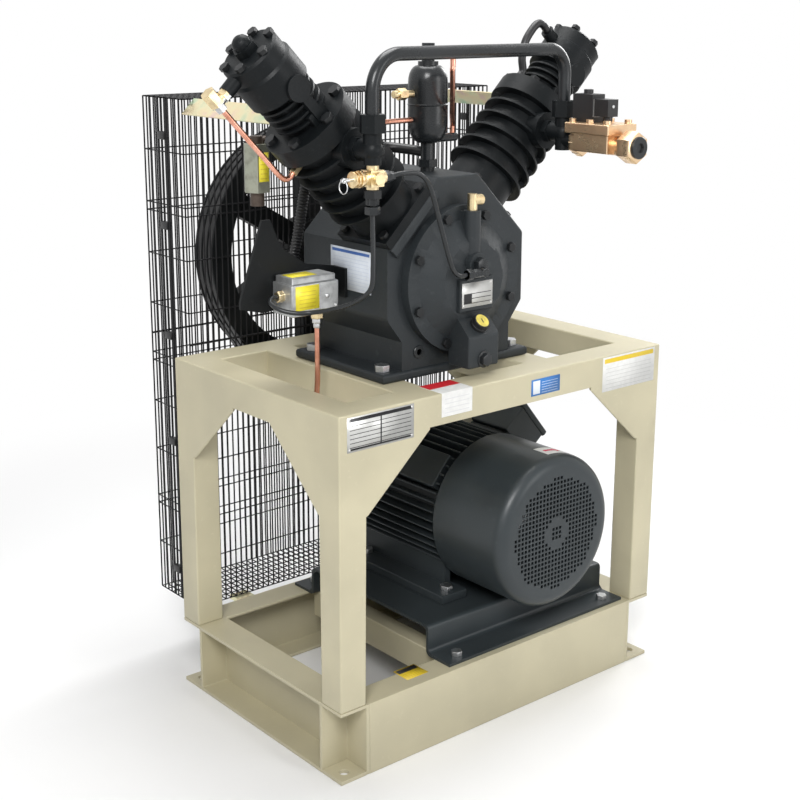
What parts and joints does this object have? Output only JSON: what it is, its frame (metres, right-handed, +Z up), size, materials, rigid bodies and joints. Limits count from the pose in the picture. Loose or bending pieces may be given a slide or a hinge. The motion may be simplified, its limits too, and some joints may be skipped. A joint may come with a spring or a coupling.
{
  "type": "two-stage piston compressor",
  "caption": "Air-cooled V-type piston compressor with stepped cylinders on a steel table frame, with an electric motor under it and a wire-mesh belt guard behind.",
  "frame": {"origin": "middle of the anchor hole rectangle, on the floor under the base", "axes": "+X right along the front face, +Y towards the belt guard, +Z up"},
  "size_m": [0.9832, 0.786, 1.3306],
  "materials": {
    "frame_paint": "satin beige paint on welded steel",
    "pump_paint": "satin charcoal paint on rough castings",
    "cast_iron": "dark painted iron with machined rims",
    "motor_paint": "slate grey paint",
    "windings": "laminations and varnished copper",
    "steel": "machined steel, bolts partly painted",
    "aluminium": "cast aluminium",
    "brass": "plain brass",
    "copper": "drawn copper tube",
    "black_pipe": "black coated steel pipe",
    "zinc_yellow": "yellow passivated zinc",
    "rubber": "black rubber",
    "black_plastic": "black moulded plastic",
    "cap_yellow": "yellow moulded plastic",
    "black_wire": "black powder-coated wire"
  },
  "bodies": {
    "frame": {"foot_plates": "frame_paint", "base_beams": "frame_paint", "base_channels": "frame_paint", "legs": "frame_paint", "table_long_rails": "frame_paint", "table_end_rails": "frame_paint", "table_cross_rails": "frame_paint", "gusset_plates": "frame_paint", "motor_base_plate": "motor_paint", "motor_frame": "motor_paint", "motor_endshields": "motor_paint", "fan_cover": "motor_paint", "stator_core": "windings", "ball_bearings": "steel", "terminal_box": "motor_paint", "motor_bolts": "steel", "v_belts": "rubber", "crankcase": "pump_paint", "front_cover": "pump_paint", "rear_bearing_housing": "pump_paint", "pump_bolts": "steel", "left_lower_cylinder": "pump_paint", "right_lower_cylinder": "pump_paint", "left_upper_cylinder": "pump_paint", "right_upper_cylinder": "pump_paint", "left_head": "pump_paint", "right_head": "pump_paint", "cylinder_bolts": "steel", "crossover_elbows": "pump_paint", "crossover_pipe": "pump_paint", "pulsation_bottle": "pump_paint", "brass_cross": "brass", "control_pipes": "black_pipe", "pressure_switch": "aluminium", "switch_bracket": "motor_paint", "copper_tubes": "copper", "tube_fittings": "brass", "intake_filter": "zinc_yellow", "breather_hose": "rubber", "head_hose": "rubber", "solenoid_body": "brass", "solenoid_coil": "black_plastic", "guard_front": "black_wire", "guard_back": "black_wire", "guard_sides": "black_wire", "guard_caps": "black_wire", "guard_straps": "zinc_yellow"},
    "crank": {"crankshaft": "steel", "flywheel": "cast_iron"},
    "left_rod": {"left_rod": "steel"},
    "right_rod": {"right_rod": "steel"},
    "left_piston": {"left_piston": "aluminium"},
    "right_piston": {"right_piston": "aluminium"},
    "rotor": {"motor_rotor": "steel", "cooling_fan": "black_plastic", "motor_pulley": "cast_iron"},
    "relief_stem": {"relief_stem": "steel"},
    "relief_ring": {"relief_ring": "steel"},
    "oil_cap": {"oil_cap": "cap_yellow"}
  },
  "joints": [
    {"name": "crank_spin", "type": "hinge", "parent": "frame", "child": "crank", "pos_m": [-0.045, 0, 0.865], "axis": [0, 1, 0], "continuous": true},
    {"name": "left_rod_turn", "type": "hinge", "parent": "crank", "child": "left_rod", "pos_m": [-0.045, -0.09, 0.895], "axis": [0, 1, 0], "continuous": true},
    {"name": "right_rod_turn", "type": "hinge", "parent": "crank", "child": "right_rod", "pos_m": [-0.045, -0.04, 0.895], "axis": [0, 1, 0], "continuous": true},
    {"name": "left_piston_slide", "type": "slide", "parent": "frame", "child": "left_piston", "axis": [-0.7071, 0, 0.7071], "range_m": [0, 0.06]},
    {"name": "right_piston_slide", "type": "slide", "parent": "frame", "child": "right_piston", "axis": [0.7071, 0, 0.7071], "range_m": [0, 0.06]},
    {"name": "motor_spin", "type": "hinge", "parent": "frame", "child": "rotor", "pos_m": [0.1, 0, 0.362], "axis": [0, 1, 0], "continuous": true},
    {"name": "relief_lift", "type": "slide", "parent": "frame", "child": "relief_stem", "axis": [-1, 0, 0], "range_m": [0, 0.004], "stiffness_N_per_m": 200},
    {"name": "ring_swing", "type": "hinge", "parent": "relief_stem", "child": "relief_ring", "pos_m": [-0.36297, -0.215, 1.07497], "axis": [0, 1, 0], "range_deg": [-30, 75]},
    {"name": "oil_cap_lift", "type": "slide", "parent": "frame", "child": "oil_cap", "axis": [0, -0.7071, 0.7071], "range_m": [0, 0.04]}
  ],
  "couplings": [
    {"joint": "left_rod_turn", "follows": "crank_spin", "ratio": -1},
    {"joint": "right_rod_turn", "follows": "crank_spin", "ratio": -1},
    {"joint": "motor_spin", "follows": "crank_spin", "ratio": 2.5565}
  ]
}
